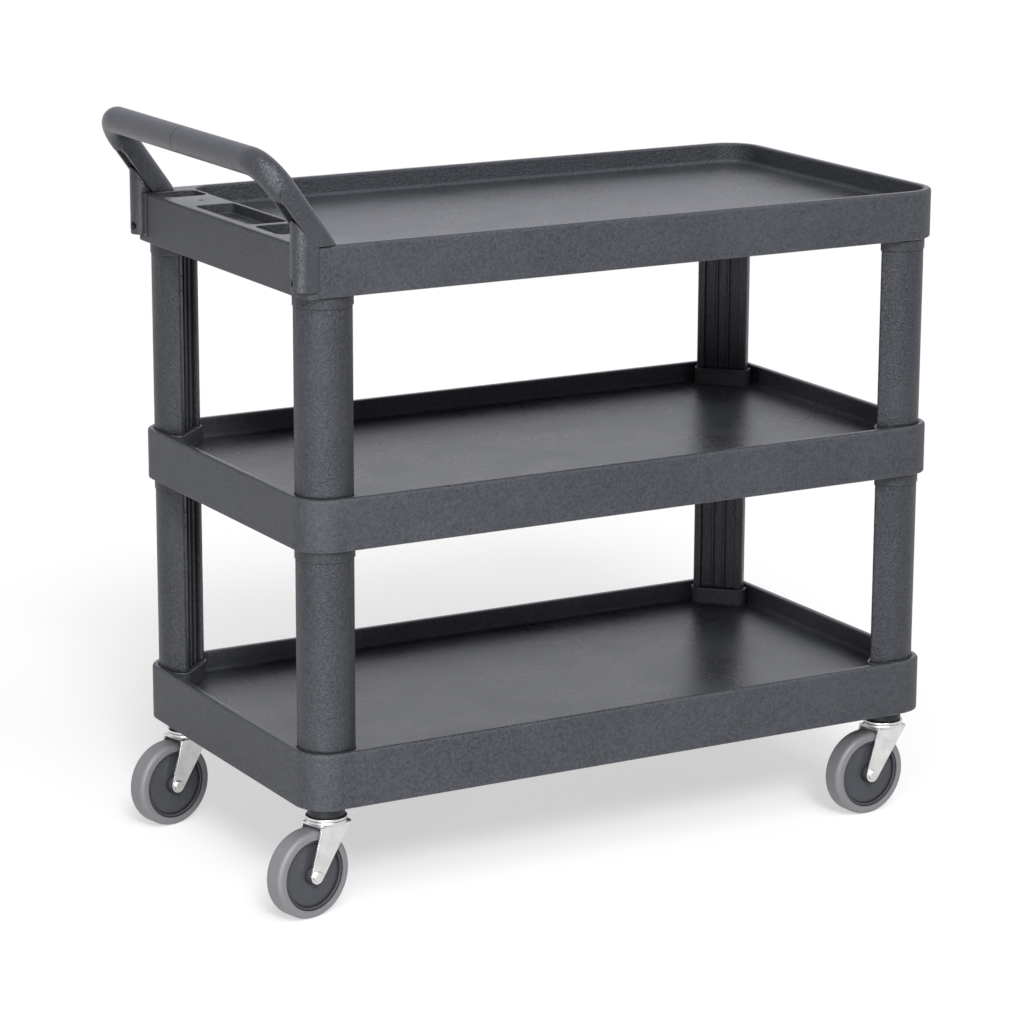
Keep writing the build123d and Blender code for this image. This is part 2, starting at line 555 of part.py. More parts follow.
with BuildPart() as handle_screws:
    for side_y in (-1, 1):
        seat = Plane(origin=(BRACKET_REAR + SCREW_RECESS_DEPTH, side_y * SCREW_Y, SCREW_Z), z_dir=(-1, 0, 0))
        with BuildSketch(seat):
            Circle(SCREW_HEAD_RADIUS)
        extrude(amount=SCREW_HEAD_HEIGHT)
        with BuildSketch(seat):
            Circle(SCREW_RADIUS)
        extrude(amount=-SCREW_LENGTH)
        with BuildSketch(seat.offset(SCREW_HEAD_HEIGHT)):
            Rectangle(SCREW_SLOT_LENGTH, SCREW_SLOT)
            Rectangle(SCREW_SLOT, SCREW_SLOT_LENGTH)
        extrude(amount=-SCREW_HEAD_HEIGHT / 2, mode=Mode.SUBTRACT)
handle_screws.part.label = "handle_screws"
export_step(handle_screws.part, "parts/handle_screws.step")

# --- Casters: each piece drawn on its swivel axis, trailing towards -X, and then set in place ---
core_radius = WHEEL_RADIUS - TYRE_THICKNESS
sleeve_radius = AXLE_RADIUS + SLEEVE_WALL


def axle_disc(radius, start, length):
    """Round bar along the axle, from start to start + length towards the right side."""
    with BuildPart() as disc:
        with BuildSketch(Plane(origin=(-CASTER_TRAIL, -start, WHEEL_RADIUS), z_dir=(0, -1, 0))):
            Circle(radius)
        extrude(amount=length)
    return disc.part


def level_disc(radius, z_low, z_high, hole=0.0):
    """Round plate on the swivel axis, with a hole when one is given."""
    with BuildPart() as disc:
        with BuildSketch(Plane.XY.offset(z_low)):
            Circle(radius)
            if hole:
                Circle(hole, mode=Mode.SUBTRACT)
        extrude(amount=z_high - z_low)
    return disc.part


def make_dust_ring():
    """Dark ring between the tray's boss and the caster's upper race."""
    with BuildPart() as ring:
        add(level_disc(DUST_RADIUS, DUST_Z, BOSS_Z, STEM_RADIUS))
        fillet(ring.edges().filter_by(GeomType.CIRCLE).sort_by(SortBy.RADIUS)[-2:], DUST_ROUND)
    return ring.part


def make_stem():
    """Stem in the tray's boss, with the kingpin and its head below it."""
    head_top = FORK_PLATE_Z - KINGPIN_CLEARANCE
    with BuildPart() as stem:
        add(level_disc(STEM_RADIUS, DUST_Z, BOSS_Z + STEM_LENGTH))
        add(level_disc(KINGPIN_RADIUS, head_top, DUST_Z))
        add(level_disc(KINGPIN_HEAD_RADIUS, head_top - KINGPIN_HEAD, head_top))
        chamfer(stem.faces().sort_by(Axis.Z)[0].edges(), KINGPIN_CHAMFER)
    return stem.part


def ball_groove():
    """Ring-shaped groove that the balls run in."""
    with BuildPart() as groove:
        with BuildSketch(Plane.XZ):
            with Locations((BALL_CIRCLE, BALL_Z)):
                Circle(BALL_RADIUS + BALL_CLEARANCE)
        revolve(axis=Axis.Z)
    return groove.part


def make_race(z_low):
    """Pressed steel race with a rounded rim and its half of the ball groove."""
    with BuildPart() as race:
        add(level_disc(RACE_RADIUS, z_low, z_low + RACE_THICKNESS, KINGPIN_RADIUS + PIN_CLEARANCE))
        fillet(race.edges().filter_by(GeomType.CIRCLE).sort_by(SortBy.RADIUS)[-2:], RACE_LIP)
        add(ball_groove(), mode=Mode.SUBTRACT)
    return race.part


def make_balls():
    """Balls between the two races."""
    with BuildPart() as balls:
        with Locations(Plane.XY.offset(BALL_Z)):
            with PolarLocations(BALL_CIRCLE, BALL_COUNT):
                Sphere(BALL_RADIUS)
    return balls.part


def make_fork():
    """Folded steel fork: a flat top and two tapered legs down to the axle."""
    outer_width = FORK_GAP + 2 * FORK_STEEL
    plate_top = FORK_PLATE_Z + FORK_STEEL
    plate_centre = FORK_TOP_FRONT - FORK_TOP_LENGTH / 2
    with BuildPart() as fork:
        with BuildSketch(Plane(origin=(plate_centre, 0, FORK_PLATE_Z))):
            Rectangle(FORK_TOP_LENGTH, outer_width)
        extrude(amount=FORK_STEEL)
        for leg_y in (-outer_width / 2, FORK_GAP / 2):
            with BuildSketch(Plane(origin=(0, leg_y, 0), x_dir=(1, 0, 0), z_dir=(0, -1, 0))):
                with Locations((-CASTER_TRAIL, WHEEL_RADIUS)):
                    Circle(FORK_LEG_END)
                with Locations((plate_centre, plate_top - FORK_STEEL / 2)):
                    Rectangle(FORK_LEG_TOP, FORK_STEEL)
                make_hull()
            extrude(amount=-FORK_STEEL)
        bends = fork.edges().filter_by(Axis.X).group_by(Axis.Z)[-1]
        fillet(bends, FORK_BEND)
        with BuildSketch(Plane.XY.offset(FORK_PLATE_Z)):
            Circle(KINGPIN_RADIUS + PIN_CLEARANCE)
        extrude(amount=FORK_STEEL, mode=Mode.SUBTRACT)
        add(axle_disc(AXLE_RADIUS + PIN_CLEARANCE, -outer_width, 2 * outer_width), mode=Mode.SUBTRACT)
    return fork.part


def make_core():
    """Wheel core with a stepped rim, a thin web and a long hub."""
    with BuildPart() as core:
        add(axle_disc(core_radius, -CORE_WIDTH / 2, CORE_WIDTH))
        for face_start in (-CORE_WIDTH / 2, CORE_WEB / 2):
            depth = (CORE_WIDTH - CORE_WEB) / 2
            add(axle_disc(core_radius - CORE_RIM, face_start, depth), mode=Mode.SUBTRACT)
        add(axle_disc(HUB_RADIUS, -HUB_LENGTH / 2, HUB_LENGTH))
        add(axle_disc(sleeve_radius + PIN_CLEARANCE, -HUB_LENGTH, 2 * HUB_LENGTH), mode=Mode.SUBTRACT)
    return core.part


def make_tyre():
    """Rubber tyre with rounded shoulders."""
    with BuildPart() as tyre:
        add(axle_disc(WHEEL_RADIUS, -TYRE_WIDTH / 2, TYRE_WIDTH))
        fillet(tyre.edges().filter_by(GeomType.CIRCLE), TYRE_ROUND)
        add(axle_disc(core_radius, -TYRE_WIDTH, 2 * TYRE_WIDTH), mode=Mode.SUBTRACT)
    return tyre.part


def make_sleeve():
    """Steel sleeve that the hub turns on."""
    with BuildPart() as sleeve:
        add(axle_disc(sleeve_radius, -FORK_GAP / 2, FORK_GAP))
        add(axle_disc(AXLE_RADIUS + PIN_CLEARANCE, -FORK_GAP, 2 * FORK_GAP), mode=Mode.SUBTRACT)
    return sleeve.part


def make_bolt():
    """Axle bolt with a domed head on the right side."""
    leg_face = FORK_GAP / 2 + FORK_STEEL
    with BuildPart() as bolt:
        far_end = leg_face + NUT_HEIGHT + AXLE_END
        add(axle_disc(AXLE_RADIUS, -far_end, far_end + leg_face))
        add(axle_disc(AXLE_HEAD_RADIUS, leg_face, AXLE_HEAD))
        fillet(bolt.faces().sort_by(Axis.Y)[0].edges(), AXLE_HEAD / 2)
    return bolt.part


def make_nut():
    """Six-sided axle nut on the left side."""
    leg_face = FORK_GAP / 2 + FORK_STEEL
    with BuildPart() as nut:
        with BuildSketch(Plane(origin=(-CASTER_TRAIL, leg_face, WHEEL_RADIUS), z_dir=(0, 1, 0))):
            RegularPolygon(NUT_RADIUS, 6)
            Circle(AXLE_RADIUS + PIN_CLEARANCE, mode=Mode.SUBTRACT)
        extrude(amount=NUT_HEIGHT)
    return nut.part


CASTER_PIECES = {
    "stem": make_stem(),
    "dust_ring": make_dust_ring(),
    "upper_race": make_race(UPPER_RACE_Z),
    "lower_race": make_race(LOWER_RACE_Z),
    "balls": make_balls(),
    "fork": make_fork(),
    "sleeve": make_sleeve(),
    "bolt": make_bolt(),
    "nut": make_nut(),
    "core": make_core(),
    "tyre": make_tyre(),
}

for corner, (side_x, side_y) in CORNERS.items():
    swivel = Location((LOW_X + side_x * POST_X, side_y * POST_Y, 0), (0, 0, CASTER_ANGLES[corner]))
    for piece, shape in CASTER_PIECES.items():
        with BuildPart() as placed:
            with Locations(swivel):
                add(shape)
        placed.part.label = f"caster_{corner}_{piece}"
        export_step(placed.part, f"parts/{placed.part.label}.step")
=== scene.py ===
"""Finishes and stages a rolling utility cart with three moulded trays, a push handle and swivel casters."""

import math

import bpy
from mathutils import Matrix, Vector

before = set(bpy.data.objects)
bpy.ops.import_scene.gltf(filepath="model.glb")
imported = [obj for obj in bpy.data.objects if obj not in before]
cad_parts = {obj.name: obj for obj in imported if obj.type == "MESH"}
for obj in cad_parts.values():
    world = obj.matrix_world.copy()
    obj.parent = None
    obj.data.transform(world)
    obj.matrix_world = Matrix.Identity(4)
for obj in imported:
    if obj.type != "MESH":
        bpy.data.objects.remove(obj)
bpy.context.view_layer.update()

bl_info = {
    "name": "Utility Cart Finishes",
    "version": (1, 0, 0),
    "blender": (4, 5, 0),
    "location": "View3D > Sidebar > Cart",
    "description": "Finishes for a moulded utility cart, and a plain studio round it",
    "category": "Object",
}

CORNERS = ("rear_right", "rear_left", "front_right", "front_left")
TRAYS = ("top_tray", "middle_tray", "bottom_tray")

# Camera: turned round the cart and raised, with its place given along its own three axes
CAMERA_AZIMUTH = math.radians(-29.56)
CAMERA_ELEVATION = math.radians(14.01)
CAMERA_ROLL = math.radians(0.23)
CAMERA_PLACE = (-0.03973, 0.4113, 5.6)
CAMERA_AIM = (0.033, 0.0, 0.037)
SENSOR = 36.0
LENS = 132.13

# Grain of the moulded plastic
GRAIN_WARP_SCALE = 170.0
GRAIN_WARP = 0.0022
MOTTLE_SCALE = 270.0
MOTTLE_SHARE = 0.7
# The grain's tone follows its height: painted shade in the hollows, painted light on the ridges
HOLLOW_SHADE = 0.5        # how much darker the hollows are
RIDGE_SHADE = 0.6         # and how much lighter the ridges
DUST_SHARE = 0.04
MARK_ROUGHNESS = 0.07
# Painted shade in seams and inner corners: its colour as a share of the plastic's, and the roughness it
# adds
SEAM_DARKNESS = 0.1
SEAM_ROUGHNESS = 0.4
PLASTIC_IOR = 1.47
PLASTIC_SHEEN = (0.9, 0.92, 1.0, 1.0)
STEEL_EDGE_WIDTH = 0.0007

# Lamps: two distant ones that shine towards the cart, and a soft box near the floor
KEY_PLACE = (-0.8, -2.9, 3.5)
KEY_SPREAD = math.radians(40)
SPARK_PLACE = (-1.2, -3.6, 2.7)
SPARK_SPREAD = math.radians(14)
PANEL_PLACE = (-2.2, -2.2, 0.3)
PANEL_AIM = (-0.1, -0.1, 0.5)
PANEL_SIZE = (0.9, 0.5)
SKY_FULL_HEIGHT = 0.8     # upward part of a direction at which the sky has its full strength
GLOSS_BACKDROP = (0.93, 0.94, 1.0, 1)


# --- Small helpers for shader trees ---------------------------------------------------------------


def add_node(tree, kind, inputs=None, **settings):
    """A new node with its settings and the values or links of its inputs."""
    node = tree.nodes.new(kind)
    for name, value in settings.items():
        setattr(node, name, value)
    for key, value in (inputs or {}).items():
        socket = node.inputs[key]
        if isinstance(value, bpy.types.NodeSocket):
            tree.links.new(value, socket)
        else:
            socket.default_value = value
    return node


def maths(tree, operation, first, second=0.0, clamp=False):
    """Result of one Math node."""
    node = add_node(tree, "ShaderNodeMath", {0: first, 1: second}, operation=operation, use_clamp=clamp)
    return node.outputs[0]


def blend_colour(tree, factor, first, second):
    """Two colours mixed by a factor."""
    node = add_node(tree, "ShaderNodeMix", {0: factor, 6: first, 7: second}, data_type="RGBA")
    return node.outputs[2]


def remap(tree, value, low, high, to_low=0.0, to_high=1.0):
    """Value moved from one range to another and kept inside it."""
    node = add_node(
        tree, "ShaderNodeMapRange", {"Value": value, 1: low, 2: high, 3: to_low, 4: to_high}, clamp=True
    )
    return node.outputs[0]


def new_group(name, inputs, outputs):
    """An empty shader group with named sockets; returns it with its input and output nodes."""
    group = bpy.data.node_groups.new(name, "ShaderNodeTree")
    for label, kind, value in inputs:
        socket = group.interface.new_socket(name=label, in_out="INPUT", socket_type=kind)
        socket.default_value = value
    for label, kind in outputs:
        group.interface.new_socket(name=label, in_out="OUTPUT", socket_type=kind)
    return group, group.nodes.new("NodeGroupInput"), group.nodes.new("NodeGroupOutput")


def use_group(tree, name, inputs):
    """One of the shared groups placed in a material."""
    return add_node(tree, "ShaderNodeGroup", inputs, node_tree=bpy.data.node_groups[name])


FLOAT = "NodeSocketFloat"
VECTOR = "NodeSocketVector"


def make_grain_group():
    """Leathery grain of a textured mould: a height, and a tone that follows it, with painted shade in the
    hollows and painted light on the ridges.
    """
    group, given, result = new_group(
        "Mould Grain",
        [("Cells Per Metre", FLOAT, 600.0), ("Smooth", FLOAT, 0.0)],
        [("Height", FLOAT), ("Shade", FLOAT)],
    )
    place = add_node(group, "ShaderNodeTexCoord").outputs["Object"]
    warp = add_node(
        group, "ShaderNodeTexNoise", {"Vector": place, "Scale": GRAIN_WARP_SCALE, "Detail": 2.0}
    )
    nudge = add_node(
        group, "ShaderNodeVectorMath", {0: warp.outputs["Color"], "Scale": GRAIN_WARP}, operation="SCALE"
    )
    moved = add_node(group, "ShaderNodeVectorMath", {0: place, 1: nudge.outputs[0]}, operation="ADD")
    cells = add_node(
        group,
        "ShaderNodeTexVoronoi",
        {"Vector": moved.outputs[0], "Scale": given.outputs["Cells Per Metre"], "Smoothness": 0.4},
        feature="SMOOTH_F1",
    )
    pebble = remap(group, cells.outputs["Distance"], 0.05, 0.62, 1.0, 0.0)
    fine = add_node(
        group,
        "ShaderNodeTexNoise",
        {"Vector": place, "Scale": MOTTLE_SCALE, "Detail": 3.0, "Roughness": 0.7},
    )
    mottle = remap(group, fine.outputs["Fac"], 0.38, 0.62)
    depth = maths(group, "SUBTRACT", 1.0, given.outputs["Smooth"])
    height = maths(group, "MULTIPLY", maths(group, "ADD", pebble, mottle), depth)
    group.links.new(height, result.inputs["Height"])
    pebble_part = maths(group, "MULTIPLY", pebble, 1.0 - MOTTLE_SHARE)
    both = maths(group, "ADD", pebble_part, maths(group, "MULTIPLY", mottle, MOTTLE_SHARE))
    group.links.new(both, result.inputs["Shade"])


def make_dust_group():
    """Faint cloudy handling marks: a mask that is strongest on level faces."""
    group, given, result = new_group(
        "Handling Marks",
        [("Scale", FLOAT, 9.0), ("Level Faces", FLOAT, 1.0)],
        [("Mask", FLOAT)],
    )
    place = add_node(group, "ShaderNodeTexCoord").outputs["Object"]
    cloud = add_node(
        group,
        "ShaderNodeTexNoise",
        {"Vector": place, "Scale": given.outputs["Scale"], "Detail": 6.0, "Roughness": 0.6},
    )
    patch = remap(group, cloud.outputs["Fac"], 0.38, 0.68)
    normal = add_node(group, "ShaderNodeNewGeometry").outputs["Normal"]
    upward = add_node(group, "ShaderNodeSeparateXYZ", {0: normal}).outputs["Z"]
    level = remap(group, upward, 0.2, 0.95)
    share = maths(group, "MULTIPLY", level, given.outputs["Level Faces"])
    rest = maths(group, "SUBTRACT", 1.0, given.outputs["Level Faces"])
    some = maths(group, "ADD", share, rest, clamp=True)
    group.links.new(maths(group, "MULTIPLY", patch, some), result.inputs["Mask"])


def make_seam_group():
    """Painted shade of narrow seams and inner corners: how much of the air close by is closed off."""
    group, given, result = new_group("Seam Shade", [("Reach", FLOAT, 0.004)], [("Mask", FLOAT)])
    open_air = add_node(
        group, "ShaderNodeAmbientOcclusion", {"Distance": given.outputs["Reach"]}, samples=6
    )
    mask = remap(group, open_air.outputs["AO"], 0.6, 0.985, 1.0, 0.0)
    group.links.new(mask, result.inputs["Mask"])


def make_edge_group():
    """Edges made lighter, partly as rubbed wear and partly as a painted highlight: how far a softened
    normal turns away from the face.
    """
    group, given, result = new_group(
        "Rubbed And Highlit Edges",
        [("Width", FLOAT, 0.002)],
        [("Mask", FLOAT), ("Soft Normal", VECTOR)],
    )
    soft = add_node(group, "ShaderNodeBevel", {"Radius": given.outputs["Width"]}, samples=4)
    face = add_node(group, "ShaderNodeNewGeometry").outputs["Normal"]
    turn = add_node(group, "ShaderNodeVectorMath", {0: soft.outputs[0], 1: face}, operation="DOT_PRODUCT")
    mask = remap(group, turn.outputs["Value"], 0.82, 0.999, 1.0, 0.0)
    group.links.new(mask, result.inputs["Mask"])
    group.links.new(soft.outputs[0], result.inputs["Soft Normal"])


# --- Materials --------------------------------------------------------------------------------------


def new_material(name):
    """A material with an empty tree, its Principled shader and its output."""
    material = bpy.data.materials.new(name)
    material.use_nodes = True
    tree = material.node_tree
    tree.nodes.clear()
    shader = tree.nodes.new("ShaderNodeBsdfPrincipled")
    output = tree.nodes.new("ShaderNodeOutputMaterial")
    tree.links.new(shader.outputs[0], output.inputs["Surface"])
    return material, tree, shader


def shade(colour, factor=1.0):
    """An RGBA tuple from a colour property, darker or lighter by a factor."""
    return (*(factor * part for part in colour), 1.0)


def moulded_plastic(name, colour, finish, rough=0.5, deck_rough=None, grain=1.0, gloss=0.35, edge_wear_and_highlight=0.2):
    """Grained polypropylene. With deck_rough, level faces are smoother and glossier."""
    material, tree, shader = new_material(name)
    smooth = 0.0
    roughness = rough
    if deck_rough is not None:
        normal = add_node(tree, "ShaderNodeNewGeometry").outputs["Normal"]
        upward = add_node(tree, "ShaderNodeSeparateXYZ", {0: normal}).outputs["Z"]
        level = remap(tree, upward, 0.9, 0.99)
        smooth = maths(tree, "MULTIPLY", level, 0.8)
        roughness = remap(tree, level, 0.0, 1.0, rough, deck_rough)
    grains = use_group(tree, "Mould Grain", {"Cells Per Metre": finish.grain_cells, "Smooth": smooth})
    marks = use_group(tree, "Handling Marks", {"Scale": 9.0, "Level Faces": 0.5})
    edges = use_group(tree, "Rubbed And Highlit Edges", {"Width": finish.edge_width})
    # Painted shade in the grain's hollows and painted light on its ridges
    dark = shade(colour, 1.0 - HOLLOW_SHADE * grain)
    light = shade(colour, 1.0 + RIDGE_SHADE * grain)
    body = blend_colour(tree, grains.outputs["Shade"], dark, light)
    dust_wear_and_highlight = shade(finish.dust_wear_and_highlight_colour)
    dusty = blend_colour(tree, maths(tree, "MULTIPLY", marks.outputs["Mask"], DUST_SHARE), body, dust_wear_and_highlight)
    # Edges lightened towards that colour: partly rubbed wear, partly a painted highlight along rims and
    # bends
    rubbed_and_highlit = blend_colour(tree, maths(tree, "MULTIPLY", edges.outputs["Mask"], edge_wear_and_highlight), dusty, dust_wear_and_highlight)
    seams = use_group(tree, "Seam Shade", {"Reach": finish.seam_reach})
    # Painted shade: the colour darkened in seams and inner corners
    with_painted_seam_shade = blend_colour(tree, seams.outputs["Mask"], rubbed_and_highlit, shade(colour, SEAM_DARKNESS))
    tree.links.new(with_painted_seam_shade, shader.inputs["Base Color"])
    marked = maths(tree, "ADD", roughness, maths(tree, "MULTIPLY", marks.outputs["Mask"], MARK_ROUGHNESS))
    dull_seams = maths(tree, "MULTIPLY", seams.outputs["Mask"], SEAM_ROUGHNESS)
    rough_value = maths(tree, "ADD", marked, dull_seams)
    tree.links.new(rough_value, shader.inputs["Roughness"])
    bump = add_node(
        tree,
        "ShaderNodeBump",
        {
            "Height": grains.outputs["Height"],
            "Strength": grain,
            "Distance": finish.grain_depth,
            "Normal": edges.outputs["Soft Normal"],
        },
    )
    tree.links.new(bump.outputs[0], shader.inputs["Normal"])
    shader.inputs["IOR"].default_value = PLASTIC_IOR
    shader.inputs["Specular IOR Level"].default_value = gloss
    shader.inputs["Specular Tint"].default_value = PLASTIC_SHEEN
    return material


def tyre_rubber(finish):
    """Matt grey rubber with a faint mould texture and scuffed tread."""
    material, tree, shader = new_material("Tyre_Rubber")
    place = add_node(tree, "ShaderNodeTexCoord").outputs["Object"]
    speckle = add_node(tree, "ShaderNodeTexNoise", {"Vector": place, "Scale": 420.0, "Detail": 4.0})
    marks = use_group(tree, "Handling Marks", {"Scale": 28.0, "Level Faces": 0.0})
    dark = shade(finish.tyre_colour, 0.8)
    speckled = maths(tree, "MULTIPLY", speckle.outputs["Fac"], 0.4)
    body = blend_colour(tree, speckled, shade(finish.tyre_colour), dark)
    scuffed = blend_colour(tree, maths(tree, "MULTIPLY", marks.outputs["Mask"], 0.18), body, dark)
    tree.links.new(scuffed, shader.inputs["Base Color"])
    rough = remap(tree, speckle.outputs["Fac"], 0.3, 0.7, 0.42, 0.55)
    tree.links.new(rough, shader.inputs["Roughness"])
    bump = add_node(
        tree, "ShaderNodeBump", {"Height": speckle.outputs["Fac"], "Strength": 0.4, "Distance": 0.0002}
    )
    tree.links.new(bump.outputs[0], shader.inputs["Normal"])
    return material


def plated_steel(name, colour, rough):
    """Zinc-plated steel with faint drawn streaks and cloudy plating."""
    material, tree, shader = new_material(name)
    place = add_node(tree, "ShaderNodeTexCoord").outputs["Object"]
    stretched = add_node(tree, "ShaderNodeMapping", {"Vector": place, "Scale": (1.0, 1.0, 0.08)})
    streak = add_node(
        tree, "ShaderNodeTexNoise", {"Vector": stretched.outputs[0], "Scale": 700.0, "Detail": 3.0}
    )
    cloud = add_node(tree, "ShaderNodeTexNoise", {"Vector": place, "Scale": 60.0, "Detail": 4.0})
    edges = use_group(tree, "Rubbed And Highlit Edges", {"Width": STEEL_EDGE_WIDTH})
    clouded = remap(tree, cloud.outputs["Fac"], 0.35, 0.7)
    body = blend_colour(tree, clouded, shade(colour), shade(colour, 0.82))
    tree.links.new(body, shader.inputs["Base Color"])
    shader.inputs["Metallic"].default_value = 1.0
    rough_value = remap(tree, streak.outputs["Fac"], 0.3, 0.7, rough - 0.04, rough + 0.05)
    tree.links.new(rough_value, shader.inputs["Roughness"])
    bump = add_node(
        tree,
        "ShaderNodeBump",
        {
            "Height": streak.outputs["Fac"],
            "Strength": 0.08,
            "Distance": 0.0001,
            "Normal": edges.outputs["Soft Normal"],
        },
    )
    tree.links.new(bump.outputs[0], shader.inputs["Normal"])
    return material


def paint(names, material):
    """Gives these CAD nodes one material."""
    for name in names:
        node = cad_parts[name]
        if not node.material_slots:
            node.data.materials.append(material)
        for slot in node.material_slots:
            slot.material = material


def caster_nodes(*pieces):
    """The names of these pieces of all four casters."""
    return [f"caster_{corner}_{piece}" for corner in CORNERS for piece in pieces]


# --- Properties -------------------------------------------------------------------------------------


def colour_property(name, description, default):
    """A colour that a user can change."""
    return bpy.props.FloatVectorProperty(
        name=name, description=description, subtype="COLOR", size=3, min=0.0, max=1.0, default=default
    )


class CartFinish(bpy.types.PropertyGroup):
    """Colours and grain of the cart."""

    plastic_colour: colour_property(
        "Plastic", "Colour of the trays, posts and handle", (0.0248, 0.0262, 0.0305)
    )
    # Used for dust, for rubbed edges and for the painted highlight along edges
    dust_wear_and_highlight_colour: colour_property(
        "Rubbed Plastic And Painted Highlight", "Colour of edges and patches that are rubbed or dusty", (0.34, 0.345, 0.37)
    )
    core_colour: colour_property(
        "Wheel Core", "Colour of the wheel cores", (0.034, 0.0355, 0.0405)
    )
    tyre_colour: colour_property(
        "Tyre", "Colour of the rubber tyres", (0.132, 0.132, 0.142)
    )
    steel_colour: colour_property(
        "Zinc Plating", "Colour of the forks, races and axles", (0.72, 0.72, 0.71)
    )
    black_colour: colour_property(
        "Black Parts", "Colour of the dust rings and handle screws", (0.012, 0.013, 0.015)
    )
    grain_cells: bpy.props.FloatProperty(
        name="Grain Cells",
        description="Cells of the mould's grain in one metre",
        min=100.0,
        max=2000.0,
        default=520.0,
    )
    grain_depth: bpy.props.FloatProperty(
        name="Grain Depth",
        description="Depth of the mould's grain",
        unit="LENGTH",
        min=0.0,
        max=0.001,
        default=0.0004,
        precision=5,
    )
    seam_reach: bpy.props.FloatProperty(
        name="Seam Reach",
        description="How far the shade of seams and inner corners reaches",
        unit="LENGTH",
        min=0.0,
        max=0.05,
        default=0.004,
    )
    # Width of the softened normals, and of the edge band that is lightened as wear and as a painted
    # highlight
    edge_width: bpy.props.FloatProperty(
        name="Edge Width",
        description="Width of the softened, rubbed edges",
        unit="LENGTH",
        min=0.0,
        max=0.005,
        default=0.0018,
        precision=4,
    )


class CartStage(bpy.types.PropertyGroup):
    """Floor and light of the studio."""

    floor_size: bpy.props.FloatProperty(
        name="Floor Size",
        description="Length of the floor's sides",
        unit="LENGTH",
        min=5.0,
        max=200.0,
        default=120.0,
    )
    floor_whiteness: bpy.props.FloatProperty(
        name="Floor Whiteness",
        description="Share of plain white in the floor as the camera sees it",
        subtype="FACTOR",
        min=0.0,
        max=1.0,
        default=0.59,
    )
    key_strength: bpy.props.FloatProperty(
        name="Key Light",
        description="Strength of the broad lamp above the front",
        min=0.0,
        max=20.0,
        default=2.3,
    )
    spark_strength: bpy.props.FloatProperty(
        name="Spark",
        description="Strength of the narrow lamp that glints on edges and bends",
        min=0.0,
        max=10.0,
        default=2.2,
    )
    panel_power: bpy.props.FloatProperty(
        name="Low Panel",
        description="Power of the soft box near the floor",
        unit="POWER",
        min=0.0,
        max=1000.0,
        default=46.0,
    )
    ambient: bpy.props.FloatProperty(
        name="Ambient",
        description="Strength of the light that comes from above on all sides",
        min=0.0,
        max=2.0,
        default=0.24,
    )


# --- Operators --------------------------------------------------------------------------------------


class CART_OT_groups(bpy.types.Operator):
    """Build the shared grain, marks and edge effects"""

    bl_idname = "cart.groups"
    bl_label = "Shared Effects"

    def execute(self, context):
        make_grain_group()
        make_dust_group()
        make_seam_group()
        make_edge_group()
        return {"FINISHED"}


class CART_OT_trays(bpy.types.Operator):
    """Finish the three trays"""

    bl_idname = "cart.trays"
    bl_label = "Trays"

    def execute(self, context):
        finish = context.scene.cart_finish
        plastic = moulded_plastic(
            "Tray_Plastic", finish.plastic_colour, finish, rough=0.5, deck_rough=0.26, gloss=0.5, edge_wear_and_highlight=0.6
        )
        paint(TRAYS, plastic)
        return {"FINISHED"}


class CART_OT_posts(bpy.types.Operator):
    """Finish the eight posts"""

    bl_idname = "cart.posts"
    bl_label = "Posts"

    def execute(self, context):
        finish = context.scene.cart_finish
        plastic = moulded_plastic("Post_Plastic", finish.plastic_colour, finish, rough=0.39)
        paint([f"post_{level}_{corner}" for level in ("upper", "lower") for corner in CORNERS], plastic)
        return {"FINISHED"}


class CART_OT_handle(bpy.types.Operator):
    """Finish the push handle and its screws"""

    bl_idname = "cart.handle"
    bl_label = "Handle"

    def execute(self, context):
        finish = context.scene.cart_finish
        plastic = moulded_plastic(
            "Handle_Plastic", finish.plastic_colour, finish, rough=0.3, grain=0.7, gloss=0.5, edge_wear_and_highlight=0.08
        )
        paint(["handle_right", "handle_left"], plastic)
        screw = moulded_plastic("Black_Screw", finish.black_colour, finish, rough=0.4, grain=0.3)
        paint(["handle_screws"], screw)
        return {"FINISHED"}


class CART_OT_casters(bpy.types.Operator):
    """Finish the steel, plastic and rubber of the casters"""

    bl_idname = "cart.casters"
    bl_label = "Casters"

    def execute(self, context):
        finish = context.scene.cart_finish
        zinc = plated_steel("Zinc_Steel", finish.steel_colour, 0.31)
        bright = plated_steel("Bearing_Steel", finish.steel_colour, 0.2)
        core = moulded_plastic("Wheel_Plastic", finish.core_colour, finish, rough=0.42, grain=0.15)
        black = moulded_plastic("Black_Plastic", finish.black_colour, finish, rough=0.45, grain=0.4)
        paint(caster_nodes("fork", "upper_race", "lower_race", "bolt", "nut", "sleeve"), zinc)
        paint(caster_nodes("balls", "stem"), bright)
        paint(caster_nodes("core"), core)
        paint(caster_nodes("dust_ring"), black)
        paint(caster_nodes("tyre"), tyre_rubber(finish))
        return {"FINISHED"}


def make_lamp(name, place, spread, strength):
    """A distant, even lamp that shines from a place towards the cart."""
    data = bpy.data.lights.new(name, "SUN")
    data.angle = spread
    data.energy = strength
    lamp = bpy.data.objects.new(name, data)
    lamp.location = place
    lamp.rotation_euler = Vector(place).to_track_quat("Z", "Y").to_euler()
    bpy.context.scene.collection.objects.link(lamp)


def make_panel(name, place, aim, size, power):
    """A soft box that faces a point of the cart."""
    data = bpy.data.lights.new(name, "AREA")
    data.shape = "RECTANGLE"
    data.size, data.size_y = size
    data.energy = power
    panel = bpy.data.objects.new(name, data)
    panel.location = place
    panel.rotation_euler = (Vector(place) - Vector(aim)).to_track_quat("Z", "Y").to_euler()
    panel.visible_camera = False
    bpy.context.scene.collection.objects.link(panel)


